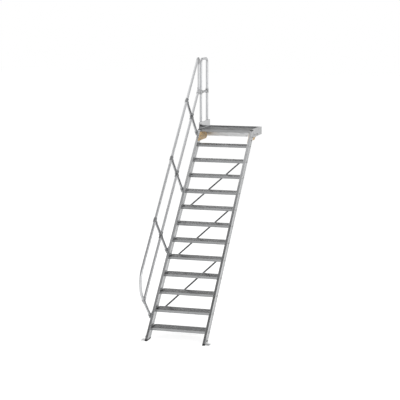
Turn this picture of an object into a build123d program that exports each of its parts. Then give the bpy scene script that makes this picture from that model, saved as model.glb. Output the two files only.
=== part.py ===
# Aluminium stair with a small platform, a handrail on the left and a guard hoop beside the platform.
# Millimetres. X runs across the stair, Y runs up the stair towards the wall, Z is up.
# The origin is the middle of the wall face, on the back of the platform's rear beam.
import math
import os

from build123d import *

# Flight
TREAD_COUNT = 12
RISE = 215.0
GOING = 215.0
FIRST_RISE = 150.0
CLEAR_WIDTH = 806.0

# Stringers, box section
STRINGER_THICKNESS = 38.0
STRINGER_DEPTH = 120.0
STRINGER_WALL = 3.0
STRINGER_CORNER = 5.0
STRINGER_PROUD = 30.0
STRINGER_GROOVE_WIDTH = 8.0
STRINGER_GROOVE_DEPTH = 1.5
STRINGER_GROOVE_SETBACK = 9.0
FOOT_HEIGHT = 22.0
CAP_HEIGHT = 14.0

# Treads and deck planks, open below
TREAD_DEPTH = 225.0
TREAD_HEIGHT = 35.0
TREAD_SKIN = 4.0
TREAD_LIP = 40.0
NOSING_RADIUS = 5.0
WEB_COUNT = 2
PLANK_COUNT = 3
PLANK_GAP = 3.0
RIB_PITCH = 12.0
RIB_GROOVE_WIDTH = 6.0
RIB_GROOVE_DEPTH = 2.0
RIB_MARGIN = 10.0

# Platform frame: box side beams and a channel at the back
PLATFORM_DEPTH = 600.0
FRAME_HEIGHT = 122.0
DECK_RECESS = 11.0
FRAME_WALL = 5.0
BEAM_SETBACK = 35.0
BEAM_GAP = 5.0
REAR_BEAM_DEPTH = 40.0
WALL_BOLT_SPACING = 600.0
WALL_BOLT_UPRIGHT_SPACING = 50.0
WALL_BOLT_HOLE = 13.0
TOE_BOARD_HEIGHT = 100.0
TOE_BOARD_THICKNESS = 15.0

# Splice plates between stringers and side beams
SPLICE_THICKNESS = 5.0
SPLICE_DROP = 168.0
SPLICE_LENGTH = 338.0
SPLICE_CORNER_LENGTH = 65.0
SPLICE_CORNER_HEIGHT = 30.0
SPLICE_EDGE = 8.0

# Cross beam under the deck, channel section, between the side beams
CROSS_BEAM_SETBACK = 355.0
CROSS_BEAM_DEPTH = 40.0
CROSS_BEAM_HEIGHT = 100.0
CROSS_BEAM_GROOVE_WIDTH = 6.0
CROSS_BEAM_GROOVE_DEPTH = 2.5
CROSS_BEAM_GROOVE_HEIGHT = 24.0

# Floor brackets
BRACKET_PLATE = 6.0
BRACKET_LENGTH = 100.0
BRACKET_REACH = 62.0
BRACKET_HEIGHT = 70.0
BRACKET_SETBACK = 17.0
FLOOR_BOLT_HOLE = 13.0
FLOOR_BOLT_REACH = 36.0

# Handrail tubes and fittings
TUBE_RADIUS = 20.0
FITTING_WALL = 4.5
SOCKET_WALL = 3.5
FITTING_CLEARANCE = 0.3
SLEEVE_LENGTH = 70.0
SOCKET_LENGTH = 55.0
TOP_RAIL_RISE = 1080.0
KNEE_RAIL_RISE = 540.0
LOWER_BEND = 300.0
UPPER_BEND = 34.0
RETURN_SETBACK = 85.0
POST_COUNT = 4
FIRST_POST_SETBACK = 418.0
LAST_POST_SETBACK = 62.0
POST_PLATE = 6.0
POST_PLATE_WIDTH = 100.0
POST_INSET = 35.0
POST_STANDOFF = 2.0

# Platform hoop
HOOP_HEIGHT = 1100.0
HOOP_WIDTH = 360.0
HOOP_BEND = 70.0
HOOP_WALL_GAP = 35.0
HOOP_MID_HEIGHT = 575.0
HOOP_PLATE_WIDTH = 60.0

# Braces behind the treads
BRACE_WIDTH = 25.0
BRACE_THICKNESS = 5.0
BRACE_GAP = 2.0
BRACE_LOW_INSET = 30.0
BRACE_HIGH_INSET = 115.0
BRACE_TREADS = 3
FIRST_BRACED_TREAD = 2
CLIP_LEG = 36.0
CLIP_PLATE = 4.0
CLIP_WIDTH = 40.0

# Places that follow from the sizes
SLOPE = math.atan2(RISE, GOING)
SIN = math.sin(SLOPE)
COS = math.cos(SLOPE)
INNER_X = CLEAR_WIDTH / 2
OUTER_X = INNER_X + STRINGER_THICKNESS
MIDDLE_X = INNER_X + STRINGER_THICKNESS / 2
FRAME_TOP = FRAME_HEIGHT / 2
FRAME_BOTTOM = -FRAME_HEIGHT / 2
PLATFORM_TOP = FRAME_TOP - DECK_RECESS
PLATFORM_FRONT = -PLATFORM_DEPTH
BEAM_FRONT = PLATFORM_FRONT + BEAM_SETBACK
GROUND = PLATFORM_TOP - TREAD_COUNT * RISE - FIRST_RISE
STRINGER_REAR = STRINGER_PROUD - STRINGER_DEPTH
FITTING_RADIUS = TUBE_RADIUS + FITTING_CLEARANCE + FITTING_WALL
SOCKET_RADIUS = TUBE_RADIUS + FITTING_CLEARANCE + SOCKET_WALL
BORE_RADIUS = TUBE_RADIUS + FITTING_CLEARANCE
RAIL_X = -(OUTER_X + POST_STANDOFF + FITTING_RADIUS)
TOP_RAIL_OFFSET = TOP_RAIL_RISE * COS
KNEE_RAIL_OFFSET = KNEE_RAIL_RISE * COS
HIGHEST_TREAD = TREAD_COUNT + 1


def slope_point(along, out):
    """Y and Z of a point: along the nosing line from the platform's edge, and square out from that line."""
    return (PLATFORM_FRONT + along * COS - out * SIN, PLATFORM_TOP + along * SIN + out * COS)


def slope_y(out, height):
    """Y of the line that runs parallel to the nosing line, at a height."""
    return PLATFORM_FRONT + ((height - PLATFORM_TOP) * COS - out) / SIN


def nosing(number):
    """Y and Z of a tread's nosing, counted from the ground."""
    steps = HIGHEST_TREAD - number
    return (PLATFORM_FRONT - steps * GOING, PLATFORM_TOP - steps * RISE)


def across_slope(x, along, out):
    """A plane whose normal runs up the slope."""
    y, z = slope_point(along, out)
    return Plane(origin=(x, y, z), x_dir=(1, 0, 0), z_dir=(0, COS, SIN))


def off_slope(x, along, out):
    """A plane whose normal points square out of the slope."""
    y, z = slope_point(along, out)
    return Plane(origin=(x, y, z), x_dir=(1, 0, 0), z_dir=(0, -SIN, COS))


def level(x, y, z):
    """A horizontal plane at a point."""
    return Plane(origin=(x, y, z), x_dir=(1, 0, 0), z_dir=(0, 0, 1))


def facing_back(x, y, z):
    """An upright plane whose normal points to the wall."""
    return Plane(origin=(x, y, z), x_dir=(1, 0, 0), z_dir=(0, 1, 0))


def save(builder, name):
    """Label a finished piece and write it."""
    builder.part.label = name
    export_step(builder.part, f"parts/{name}.step")


os.makedirs("parts", exist_ok=True)


# Stringers, with the feet and caps that close their ends
SLOPE_RUN = (FRAME_TOP - GROUND) / SIN + 2 * STRINGER_DEPTH / (SIN * COS)
STRINGER_MIDDLE = STRINGER_PROUD - STRINGER_DEPTH / 2
SLOPE_START = (GROUND - PLATFORM_TOP) / SIN - STRINGER_DEPTH / (SIN * COS)
STRINGER_LOW = GROUND + FOOT_HEIGHT
STRINGER_HIGH = FRAME_TOP - CAP_HEIGHT


def stringer_length(x, low, high, hollow):
    """A length of the stringer's section on the slope, cut level at both ends and upright before the side beam."""
    with BuildSketch(across_slope(x, SLOPE_START, STRINGER_MIDDLE)) as section:
        RectangleRounded(STRINGER_THICKNESS, STRINGER_DEPTH, STRINGER_CORNER)
        if hollow:
            Rectangle(
                STRINGER_THICKNESS - 2 * STRINGER_WALL,
                STRINGER_DEPTH - 2 * STRINGER_WALL,
                mode=Mode.SUBTRACT,
            )
            with Locations((0, STRINGER_GROOVE_SETBACK)):
                with GridLocations(STRINGER_THICKNESS - STRINGER_GROOVE_DEPTH, 0, 2, 1):
                    Rectangle(STRINGER_GROOVE_DEPTH, STRINGER_GROOVE_WIDTH, mode=Mode.SUBTRACT)
    bar = extrude(section.sketch, amount=SLOPE_RUN, mode=Mode.PRIVATE)
    bar = split(bar, bisect_by=facing_back(0, BEAM_FRONT, 0), keep=Keep.BOTTOM, mode=Mode.PRIVATE)
    bar = split(bar, bisect_by=Plane.XY.offset(low), keep=Keep.TOP, mode=Mode.PRIVATE)
    bar = split(bar, bisect_by=Plane.XY.offset(high), keep=Keep.BOTTOM, mode=Mode.PRIVATE)
    add(bar)


for side_name, side in (("left", -1), ("right", 1)):
    with BuildPart() as stringer:
        stringer_length(side * MIDDLE_X, STRINGER_LOW, STRINGER_HIGH, True)
    save(stringer, f"{side_name}_stringer")

with BuildPart() as stringer_feet:
    for side in (-1, 1):
        stringer_length(side * MIDDLE_X, GROUND, STRINGER_LOW, False)
save(stringer_feet, "stringer_feet")

with BuildPart() as stringer_caps:
    for side in (-1, 1):
        stringer_length(side * MIDDLE_X, STRINGER_HIGH, FRAME_TOP, False)
save(stringer_caps, "stringer_caps")


# Treads and deck planks share one extruded profile
def plank_profile(front, top, depth, nosing_radius):
    """Sketch of a plank's section: grooved on top, open below between two lips, with webs under its top."""
    inner_depth = depth - 2 * TREAD_SKIN
    slot_depth = depth - 2 * TREAD_LIP
    groove_count = int((depth - 2 * RIB_MARGIN) / RIB_PITCH)
    middle = front + depth / 2
    with BuildSketch(Plane.YZ.offset(-INNER_X)) as section:
        with Locations((middle, top - TREAD_HEIGHT / 2)):
            Rectangle(depth, TREAD_HEIGHT)
        if nosing_radius > 0:
            fillet(section.vertices().sort_by(Axis.Y)[:2].sort_by(Axis.Z)[-1], nosing_radius)
        with Locations((middle, top - TREAD_HEIGHT / 2)):
            Rectangle(inner_depth, TREAD_HEIGHT - 2 * TREAD_SKIN, mode=Mode.SUBTRACT)
        with Locations((middle, top - TREAD_HEIGHT + TREAD_SKIN / 2)):
            Rectangle(slot_depth, TREAD_SKIN, mode=Mode.SUBTRACT)
        web_pitch = slot_depth / (WEB_COUNT + 1)
        with Locations((middle, top - TREAD_HEIGHT / 2)):
            with GridLocations(web_pitch, 0, WEB_COUNT, 1):
                Rectangle(TREAD_SKIN, TREAD_HEIGHT - TREAD_SKIN)
        with Locations((middle, top - RIB_GROOVE_DEPTH / 2)):
            with GridLocations(RIB_PITCH, 0, groove_count, 1):
                Rectangle(RIB_GROOVE_WIDTH, RIB_GROOVE_DEPTH, mode=Mode.SUBTRACT)
    return section.sketch


for number in range(1, TREAD_COUNT + 1):
    front, top = nosing(number)
    with BuildPart() as tread:
        extrude(plank_profile(front, top, TREAD_DEPTH, NOSING_RADIUS), amount=CLEAR_WIDTH)
    save(tread, f"tread_{number:02d}")

DECK_DEPTH = PLATFORM_DEPTH - REAR_BEAM_DEPTH
PLANK_DEPTH = (DECK_DEPTH - (PLANK_COUNT - 1) * PLANK_GAP) / PLANK_COUNT
for index, plank_name in enumerate(("front", "middle", "rear")):
    front = PLATFORM_FRONT + index * (PLANK_DEPTH + PLANK_GAP)
    radius = NOSING_RADIUS if index == 0 else 0
    with BuildPart() as deck_plank:
        extrude(plank_profile(front, PLATFORM_TOP, PLANK_DEPTH, radius), amount=CLEAR_WIDTH)
    save(deck_plank, f"{plank_name}_deck_plank")


# Platform frame: box beams at the sides, a gap behind the stringers' upright ends, and a channel at the back
BEAM_LENGTH = -REAR_BEAM_DEPTH - BEAM_FRONT - BEAM_GAP
for side_name, side in (("left", -1), ("right", 1)):
    with BuildPart() as side_beam:
        with BuildSketch(facing_back(side * MIDDLE_X, BEAM_FRONT + BEAM_GAP, 0)):
            Rectangle(STRINGER_THICKNESS, FRAME_HEIGHT)
            Rectangle(STRINGER_THICKNESS - 2 * FRAME_WALL, FRAME_HEIGHT - 2 * FRAME_WALL, mode=Mode.SUBTRACT)
        extrude(amount=BEAM_LENGTH)
    save(side_beam, f"{side_name}_side_beam")

with BuildPart() as rear_beam:
    with BuildSketch(facing_back(0, -REAR_BEAM_DEPTH, 0)):
        Rectangle(2 * OUTER_X, FRAME_HEIGHT)
    extrude(amount=REAR_BEAM_DEPTH)
    with BuildSketch(facing_back(0, -REAR_BEAM_DEPTH, 0)):
        Rectangle(2 * OUTER_X, FRAME_HEIGHT - 2 * FRAME_WALL)
    extrude(amount=REAR_BEAM_DEPTH - FRAME_WALL, mode=Mode.SUBTRACT)
    with BuildSketch(facing_back(0, -FRAME_WALL, 0)):
        with GridLocations(WALL_BOLT_SPACING, WALL_BOLT_UPRIGHT_SPACING, 2, 2):
            Circle(WALL_BOLT_HOLE / 2)
    extrude(amount=FRAME_WALL, mode=Mode.SUBTRACT)
save(rear_beam, "rear_beam")

with BuildPart() as toe_board:
    with BuildSketch(Plane.XY.offset(FRAME_TOP)):
        with Locations((-OUTER_X, PLATFORM_FRONT)):
            Rectangle(TOE_BOARD_THICKNESS, PLATFORM_DEPTH, align=(Align.MIN, Align.MIN))
    extrude(amount=TOE_BOARD_HEIGHT)
save(toe_board, "toe_board")


# Splice plates on the inner faces, under the deck
SPLICE_LOW = PLATFORM_TOP - SPLICE_DROP
SPLICE_HIGH = PLATFORM_TOP - TREAD_HEIGHT
SPLICE_OUT = STRINGER_PROUD - SPLICE_EDGE
SPLICE_END = PLATFORM_FRONT + SPLICE_LENGTH
for side_name, side in (("left", -1), ("right", 1)):
    plate_x = INNER_X - SPLICE_THICKNESS if side > 0 else -INNER_X
    with BuildPart() as splice_plate:
        with BuildSketch(Plane.YZ.offset(plate_x)):
            with BuildLine():
                Polyline(
                    (slope_y(SPLICE_OUT, SPLICE_LOW), SPLICE_LOW),
                    (SPLICE_END - SPLICE_CORNER_LENGTH, SPLICE_LOW),
                    (SPLICE_END, SPLICE_LOW + SPLICE_CORNER_HEIGHT),
                    (SPLICE_END, SPLICE_HIGH),
                    (slope_y(SPLICE_OUT, SPLICE_HIGH), SPLICE_HIGH),
                    close=True,
                )
            make_face()
        extrude(amount=SPLICE_THICKNESS)
    save(splice_plate, f"{side_name}_splice_plate")

# Cross beam: a channel between the side beams that carries the planks, grooved in front and open to the back
CROSS_BEAM_FRONT = PLATFORM_FRONT + CROSS_BEAM_SETBACK
CROSS_BEAM_LOW = SPLICE_HIGH - CROSS_BEAM_HEIGHT
CROSS_BEAM_MIDDLE = SPLICE_HIGH - CROSS_BEAM_HEIGHT / 2
with BuildPart() as cross_beam:
    with BuildSketch(facing_back(0, CROSS_BEAM_FRONT, CROSS_BEAM_MIDDLE)):
        Rectangle(CLEAR_WIDTH, CROSS_BEAM_HEIGHT)
    extrude(amount=CROSS_BEAM_DEPTH)
    with BuildSketch(facing_back(0, CROSS_BEAM_FRONT + FRAME_WALL, CROSS_BEAM_MIDDLE)):
        Rectangle(CLEAR_WIDTH, CROSS_BEAM_HEIGHT - 2 * FRAME_WALL)
    extrude(amount=CROSS_BEAM_DEPTH - FRAME_WALL, mode=Mode.SUBTRACT)
    with BuildSketch(facing_back(0, CROSS_BEAM_FRONT, CROSS_BEAM_LOW + CROSS_BEAM_GROOVE_HEIGHT)):
        Rectangle(CLEAR_WIDTH, CROSS_BEAM_GROOVE_WIDTH)
    extrude(amount=CROSS_BEAM_GROOVE_DEPTH, mode=Mode.SUBTRACT)
save(cross_beam, "cross_beam")


# Floor brackets: a plate up the stringer's outer face and a leg on the ground with one anchor hole
BRACKET_FRONT = slope_y(STRINGER_PROUD, GROUND) + BRACKET_SETBACK
BRACKET_LEAN = BRACKET_HEIGHT * COS / SIN
for side_name, side in (("left", -1), ("right", 1)):
    plate_x = OUTER_X if side > 0 else -OUTER_X - BRACKET_PLATE
    leg_x = side * (OUTER_X + BRACKET_REACH / 2)
    bolt_x = side * (OUTER_X + FLOOR_BOLT_REACH)
    with BuildPart() as floor_bracket:
        with BuildSketch(Plane.YZ.offset(plate_x)):
            with BuildLine():
                Polyline(
                    (BRACKET_FRONT, GROUND),
                    (BRACKET_FRONT + BRACKET_LENGTH, GROUND),
                    (BRACKET_FRONT + BRACKET_LENGTH + BRACKET_LEAN, GROUND + BRACKET_HEIGHT),
                    (BRACKET_FRONT + BRACKET_LEAN, GROUND + BRACKET_HEIGHT),
                    close=True,
                )
            make_face()
        extrude(amount=BRACKET_PLATE)
        with BuildSketch(Plane.XY.offset(GROUND)):
            with Locations((leg_x, BRACKET_FRONT + BRACKET_LENGTH / 2)):
                Rectangle(BRACKET_REACH, BRACKET_LENGTH)
            with Locations((bolt_x, BRACKET_FRONT + BRACKET_LENGTH / 2)):
                Circle(FLOOR_BOLT_HOLE / 2, mode=Mode.SUBTRACT)
        extrude(amount=BRACKET_PLATE)
    save(floor_bracket, f"{side_name}_floor_bracket")


# Handrail: the top rail is one bent tube, from its lower leg up to the return above the platform
leg_station = (GROUND - PLATFORM_TOP) / SIN + FIRST_POST_SETBACK
post_spacing = (-LAST_POST_SETBACK - leg_station) / (POST_COUNT - 1)
post_stations = [leg_station + index * post_spacing for index in range(POST_COUNT)]
POST_LOW = STRINGER_REAR + POST_INSET
RETURN_Y = PLATFORM_FRONT + RETURN_SETBACK
BEND_DROP = TOP_RAIL_OFFSET - UPPER_BEND - UPPER_BEND * SIN
BEND_STATION = (RETURN_SETBACK + BEND_DROP * SIN) / COS - UPPER_BEND * COS
RETURN_TURN = 90 + math.degrees(SLOPE)
KNEE_END_HEIGHT = PLATFORM_TOP + (RETURN_SETBACK * SIN + KNEE_RAIL_OFFSET) / COS
KNEE_END_STATION = (RETURN_SETBACK + KNEE_RAIL_OFFSET * SIN) / COS
BEND_END_HEIGHT = slope_point(BEND_STATION + UPPER_BEND * COS, BEND_DROP)[1]
RETURN_LENGTH = BEND_END_HEIGHT - KNEE_END_HEIGHT + SLEEVE_LENGTH / 2

slope_side_y, slope_side_z = slope_point(0, 0)
slope_side = Plane(
    origin=(RAIL_X, slope_side_y, slope_side_z),
    x_dir=(0, COS, SIN),
    z_dir=(1, 0, 0),
)

with BuildPart() as top_rail:
    with BuildLine(slope_side) as rail_path:
        leg = Line((leg_station, POST_LOW), (leg_station, TOP_RAIL_OFFSET - LOWER_BEND))
        lower_bend = JernArc(leg @ 1, (0, 1), LOWER_BEND, -90)
        straight = Line(lower_bend @ 1, (BEND_STATION, TOP_RAIL_OFFSET))
        upper_bend = JernArc(straight @ 1, (1, 0), UPPER_BEND, -RETURN_TURN)
        return_drop = PolarLine(upper_bend @ 1, RETURN_LENGTH, -RETURN_TURN)
    with BuildSketch(off_slope(RAIL_X, leg_station, POST_LOW)):
        Circle(TUBE_RADIUS)
    sweep(path=rail_path.wires()[0])
save(top_rail, "top_rail")

# Posts and knee rail lengths end inside the sockets of the fittings, clear of the tube that runs through
POST_HIGH = TOP_RAIL_OFFSET - FITTING_RADIUS
RETURN_STOP = (FITTING_RADIUS + BORE_RADIUS * SIN) / COS
RETURN_SOCKET = RETURN_STOP + SOCKET_LENGTH - FITTING_RADIUS


def rod(plane, radius, start, end, mode=Mode.ADD):
    """A round bar along a plane's normal, between two distances from it, in the open part."""
    with BuildSketch(plane.offset(start)) as section:
        Circle(radius)
    extrude(section.sketch, amount=end - start, mode=mode)


def sleeve_bore(plane):
    """Bore a sleeve for the tube that runs through it."""
    rod(plane, BORE_RADIUS, -SLEEVE_LENGTH, SLEEVE_LENGTH, Mode.SUBTRACT)


for post_name, station in zip(("lower", "middle", "upper"), post_stations[1:]):
    with BuildPart() as post:
        rod(off_slope(RAIL_X, station, 0), TUBE_RADIUS, POST_LOW, POST_HIGH)
    save(post, f"{post_name}_post")

knee_starts = [station + FITTING_RADIUS for station in post_stations]
knee_ends = [station - FITTING_RADIUS for station in post_stations[1:]] + [KNEE_END_STATION - RETURN_STOP]
with BuildPart() as knee_rail:
    for start, end in zip(knee_starts, knee_ends):
        rod(across_slope(RAIL_X, 0, KNEE_RAIL_OFFSET), TUBE_RADIUS, start, end)
save(knee_rail, "knee_rail")


# Fittings: a sleeve on the tube that runs through, and sockets for the tubes that end there
with BuildPart() as rail_tees:
    for station in post_stations[1:]:
        along = across_slope(RAIL_X, station, TOP_RAIL_OFFSET)
        out = off_slope(RAIL_X, station, TOP_RAIL_OFFSET)
        rod(along, FITTING_RADIUS, -SLEEVE_LENGTH / 2, SLEEVE_LENGTH / 2)
        rod(out, SOCKET_RADIUS, -SOCKET_LENGTH, 0)
        sleeve_bore(along)
        rod(out, BORE_RADIUS, -2 * SOCKET_LENGTH, -FITTING_RADIUS, Mode.SUBTRACT)
save(rail_tees, "rail_tees")

with BuildPart() as knee_crosses:
    for station in post_stations[1:]:
        along = across_slope(RAIL_X, station, KNEE_RAIL_OFFSET)
        out = off_slope(RAIL_X, station, KNEE_RAIL_OFFSET)
        rod(out, FITTING_RADIUS, -SLEEVE_LENGTH / 2, SLEEVE_LENGTH / 2)
        rod(along, SOCKET_RADIUS, -SOCKET_LENGTH, SOCKET_LENGTH)
        sleeve_bore(out)
        rod(along, BORE_RADIUS, -2 * SOCKET_LENGTH, -FITTING_RADIUS, Mode.SUBTRACT)
        rod(along, BORE_RADIUS, FITTING_RADIUS, 2 * SOCKET_LENGTH, Mode.SUBTRACT)
save(knee_crosses, "knee_crosses")

with BuildPart() as knee_rail_ends:
    leg_along = across_slope(RAIL_X, leg_station, KNEE_RAIL_OFFSET)
    leg_out = off_slope(RAIL_X, leg_station, KNEE_RAIL_OFFSET)
    rod(leg_out, FITTING_RADIUS, -SLEEVE_LENGTH / 2, SLEEVE_LENGTH / 2)
    rod(leg_along, SOCKET_RADIUS, 0, SOCKET_LENGTH)
    sleeve_bore(leg_out)
    rod(leg_along, BORE_RADIUS, FITTING_RADIUS, 2 * SOCKET_LENGTH, Mode.SUBTRACT)
    return_along = across_slope(RAIL_X, KNEE_END_STATION, KNEE_RAIL_OFFSET)
    return_up = level(RAIL_X, RETURN_Y, KNEE_END_HEIGHT)
    rod(return_up, FITTING_RADIUS, -SLEEVE_LENGTH / 2, SLEEVE_LENGTH / 2)
    rod(return_along, SOCKET_RADIUS, -RETURN_SOCKET, 0)
    sleeve_bore(return_up)
    rod(return_along, BORE_RADIUS, -2 * RETURN_SOCKET, -RETURN_STOP, Mode.SUBTRACT)
save(knee_rail_ends, "knee_rail_ends")

# Post brackets: a plate on the stringer's outer face with a sleeve for the post
PLATE_END = STRINGER_PROUD - STRINGER_CORNER
PLATE_LENGTH = PLATE_END - POST_LOW
with BuildPart() as post_brackets:
    for station in post_stations:
        with BuildSketch(slope_side.offset(-OUTER_X - POST_PLATE - RAIL_X)):
            with Locations((station, (POST_LOW + PLATE_END) / 2)):
                Rectangle(POST_PLATE_WIDTH, PLATE_LENGTH)
        extrude(amount=POST_PLATE)
        out = off_slope(RAIL_X, station, 0)
        rod(out, FITTING_RADIUS, POST_LOW, PLATE_END)
        rod(out, BORE_RADIUS, POST_LOW - SLEEVE_LENGTH, PLATE_END + SLEEVE_LENGTH, Mode.SUBTRACT)
save(post_brackets, "post_brackets")


# Platform hoop, with its mid rail, clamps and brackets
HOOP_REAR = -HOOP_WALL_GAP
HOOP_FRONT = HOOP_REAR - HOOP_WIDTH
HOOP_TOP = PLATFORM_TOP + HOOP_HEIGHT
HOOP_MID = PLATFORM_TOP + HOOP_MID_HEIGHT
with BuildPart() as platform_hoop:
    with BuildLine(Plane.YZ.offset(RAIL_X)) as hoop_path:
        FilletPolyline(
            (HOOP_FRONT, FRAME_BOTTOM),
            (HOOP_FRONT, HOOP_TOP),
            (HOOP_REAR, HOOP_TOP),
            (HOOP_REAR, FRAME_BOTTOM),
            radius=HOOP_BEND,
        )
    with BuildSketch(level(RAIL_X, HOOP_FRONT, FRAME_BOTTOM)):
        Circle(TUBE_RADIUS)
    sweep(path=hoop_path.wires()[0])
save(platform_hoop, "platform_hoop")

hoop_mid_start = facing_back(RAIL_X, HOOP_FRONT, HOOP_MID)
with BuildPart() as hoop_mid_rail:
    rod(hoop_mid_start, TUBE_RADIUS, FITTING_RADIUS, HOOP_WIDTH - FITTING_RADIUS)
save(hoop_mid_rail, "hoop_mid_rail")

with BuildPart() as hoop_clamps:
    for post_y in (HOOP_FRONT, HOOP_REAR):
        rod(level(RAIL_X, post_y, HOOP_MID), FITTING_RADIUS, -SLEEVE_LENGTH / 2, SLEEVE_LENGTH / 2)
    rod(hoop_mid_start, SOCKET_RADIUS, 0, SOCKET_LENGTH)
    rod(hoop_mid_start, SOCKET_RADIUS, HOOP_WIDTH - SOCKET_LENGTH, HOOP_WIDTH)
    for post_y in (HOOP_FRONT, HOOP_REAR):
        sleeve_bore(level(RAIL_X, post_y, HOOP_MID))
    rod(hoop_mid_start, BORE_RADIUS, FITTING_RADIUS, HOOP_WIDTH - FITTING_RADIUS, Mode.SUBTRACT)
save(hoop_clamps, "hoop_clamps")

with BuildPart() as hoop_brackets:
    for post_y in (HOOP_FRONT, HOOP_REAR):
        with BuildSketch(Plane.YZ.offset(-OUTER_X - POST_PLATE)):
            with Locations((post_y, 0)):
                Rectangle(HOOP_PLATE_WIDTH, FRAME_HEIGHT)
        extrude(amount=POST_PLATE)
        up = level(RAIL_X, post_y, 0)
        rod(up, FITTING_RADIUS, FRAME_BOTTOM, FRAME_TOP)
        rod(up, BORE_RADIUS, FRAME_BOTTOM - SLEEVE_LENGTH, FRAME_TOP + SLEEVE_LENGTH, Mode.SUBTRACT)
save(hoop_brackets, "hoop_brackets")


# Braces: flat bars behind the treads, each bolted to a clip under a tread at either end
CORNER_OUT = -TREAD_DEPTH * SIN - TREAD_HEIGHT * COS
BRACE_OUT = CORNER_OUT - BRACE_GAP
LOW_X = BRACE_LOW_INSET - INNER_X
HIGH_X = INNER_X - BRACE_HIGH_INSET


def tread_corner(number):
    """Y and Z of a tread's lower rear edge."""
    front, top = nosing(number)
    return (front + TREAD_DEPTH, top - TREAD_HEIGHT)


def brace_station(number):
    """How far along the slope a brace's bolt lies, on the clip under a tread."""
    y, z = tread_corner(number)
    return (y - PLATFORM_FRONT) * COS + (z - PLATFORM_TOP) * SIN - CLIP_LEG / 2


def brace_clip(number, x):
    """A bent clip under a tread's rear lip, added to the open part."""
    corner_y, corner_z = tread_corner(number)
    seat_y = slope_y(BRACE_OUT, corner_z)
    with BuildSketch(Plane.YZ.offset(x - CLIP_WIDTH / 2)) as section:
        with BuildLine():
            Polyline(
                (corner_y - CLIP_LEG, corner_z),
                (seat_y, corner_z),
                (seat_y - CLIP_LEG * COS, corner_z - CLIP_LEG * SIN),
                (seat_y - CLIP_LEG * COS - CLIP_PLATE * SIN, corner_z - CLIP_LEG * SIN + CLIP_PLATE * COS),
                (slope_y(BRACE_OUT + CLIP_PLATE, corner_z - CLIP_PLATE), corner_z - CLIP_PLATE),
                (corner_y - CLIP_LEG, corner_z - CLIP_PLATE),
                close=True,
            )
        make_face()
    extrude(section.sketch, amount=CLIP_WIDTH)


braced_treads = [FIRST_BRACED_TREAD + index * BRACE_TREADS for index in range(3)]
for brace_name, number in zip(("lower", "middle", "upper"), braced_treads):
    low_station = brace_station(number)
    high_station = brace_station(number + BRACE_TREADS)
    run = high_station - low_station
    brace_y, brace_z = slope_point((low_station + high_station) / 2, BRACE_OUT)
    brace_plane = Plane(
        origin=((LOW_X + HIGH_X) / 2, brace_y, brace_z),
        x_dir=(HIGH_X - LOW_X, run * COS, run * SIN),
        z_dir=(0, SIN, -COS),
    )
    with BuildPart() as brace:
        with BuildSketch(brace_plane):
            SlotCenterToCenter(math.hypot(HIGH_X - LOW_X, run), BRACE_WIDTH)
        extrude(amount=BRACE_THICKNESS)
    save(brace, f"{brace_name}_brace")

with BuildPart() as brace_clips:
    for number in braced_treads:
        brace_clip(number, LOW_X)
        brace_clip(number + BRACE_TREADS, HIGH_X)
save(brace_clips, "brace_clips")
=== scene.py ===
# Looks of the aluminium stair: camera, studio, finishes and the small hardware. Metres.
import math

import bmesh
import bpy
from mathutils import Matrix, Vector


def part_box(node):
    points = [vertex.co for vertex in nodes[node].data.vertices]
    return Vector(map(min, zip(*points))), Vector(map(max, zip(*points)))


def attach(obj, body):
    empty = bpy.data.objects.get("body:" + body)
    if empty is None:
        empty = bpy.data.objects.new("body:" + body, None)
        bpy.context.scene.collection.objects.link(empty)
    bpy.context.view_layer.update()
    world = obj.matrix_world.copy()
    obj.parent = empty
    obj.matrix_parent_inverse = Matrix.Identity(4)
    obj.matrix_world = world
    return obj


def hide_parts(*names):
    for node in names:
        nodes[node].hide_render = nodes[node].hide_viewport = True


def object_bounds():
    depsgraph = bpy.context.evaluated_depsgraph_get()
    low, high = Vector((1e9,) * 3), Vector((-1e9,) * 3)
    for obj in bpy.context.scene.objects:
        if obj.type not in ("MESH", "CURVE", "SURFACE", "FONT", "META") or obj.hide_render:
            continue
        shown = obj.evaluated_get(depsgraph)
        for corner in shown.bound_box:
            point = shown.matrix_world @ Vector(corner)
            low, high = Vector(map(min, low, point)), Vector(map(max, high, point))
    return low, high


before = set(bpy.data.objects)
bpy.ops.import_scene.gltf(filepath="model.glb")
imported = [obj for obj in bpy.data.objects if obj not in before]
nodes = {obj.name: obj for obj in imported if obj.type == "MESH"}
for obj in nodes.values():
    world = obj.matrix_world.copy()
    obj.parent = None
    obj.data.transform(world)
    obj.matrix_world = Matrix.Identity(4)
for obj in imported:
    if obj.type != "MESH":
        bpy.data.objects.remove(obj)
cad_low, cad_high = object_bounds()
BODY = "root"

# Camera of the photograph, in the stair's frame
CAMERA_PLACE = Vector((5.007, -19.426, 2.071))
CAMERA_AZIMUTH = math.radians(16.09)
CAMERA_PITCH = math.radians(9.16)
CAMERA_LENS = 111.33
SENSOR_WIDTH = 36.0
CAMERA_REACH = 200.0

# Studio
WHITE = (1, 1, 1, 1)
FLOOR_SIZE = 120.0
FLOOR_DROP = 0.001
FLOOR_COLOUR = (0.6, 0.6, 0.6, 1)
FLOOR_LIFT = 0.75
HORIZON_LEVEL = 1.0
ZENITH_LEVEL = 0.22
HORIZON_TOP = 0.30
ZENITH_START = 0.75
RIGHT_SOFTBOX = dict(place=(7, -6, 3), target=(0, -2, -1), size=8, power=220)
HEAD_SOFTBOX = dict(place=(-3.7, 1.0, 5), target=(-3.7, 1.0, 0), size=6.5, power=133)
RAIL_SOFTBOX = dict(place=(2.0, -1.15, 5.5), target=(2.0, -1.15, 0), size=4.5, power=51)
FOOT_SOFTBOX = dict(place=(-3.9, -3.1, 5), target=(-3.9, -3.1, 0), size=3.2, power=24)

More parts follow.
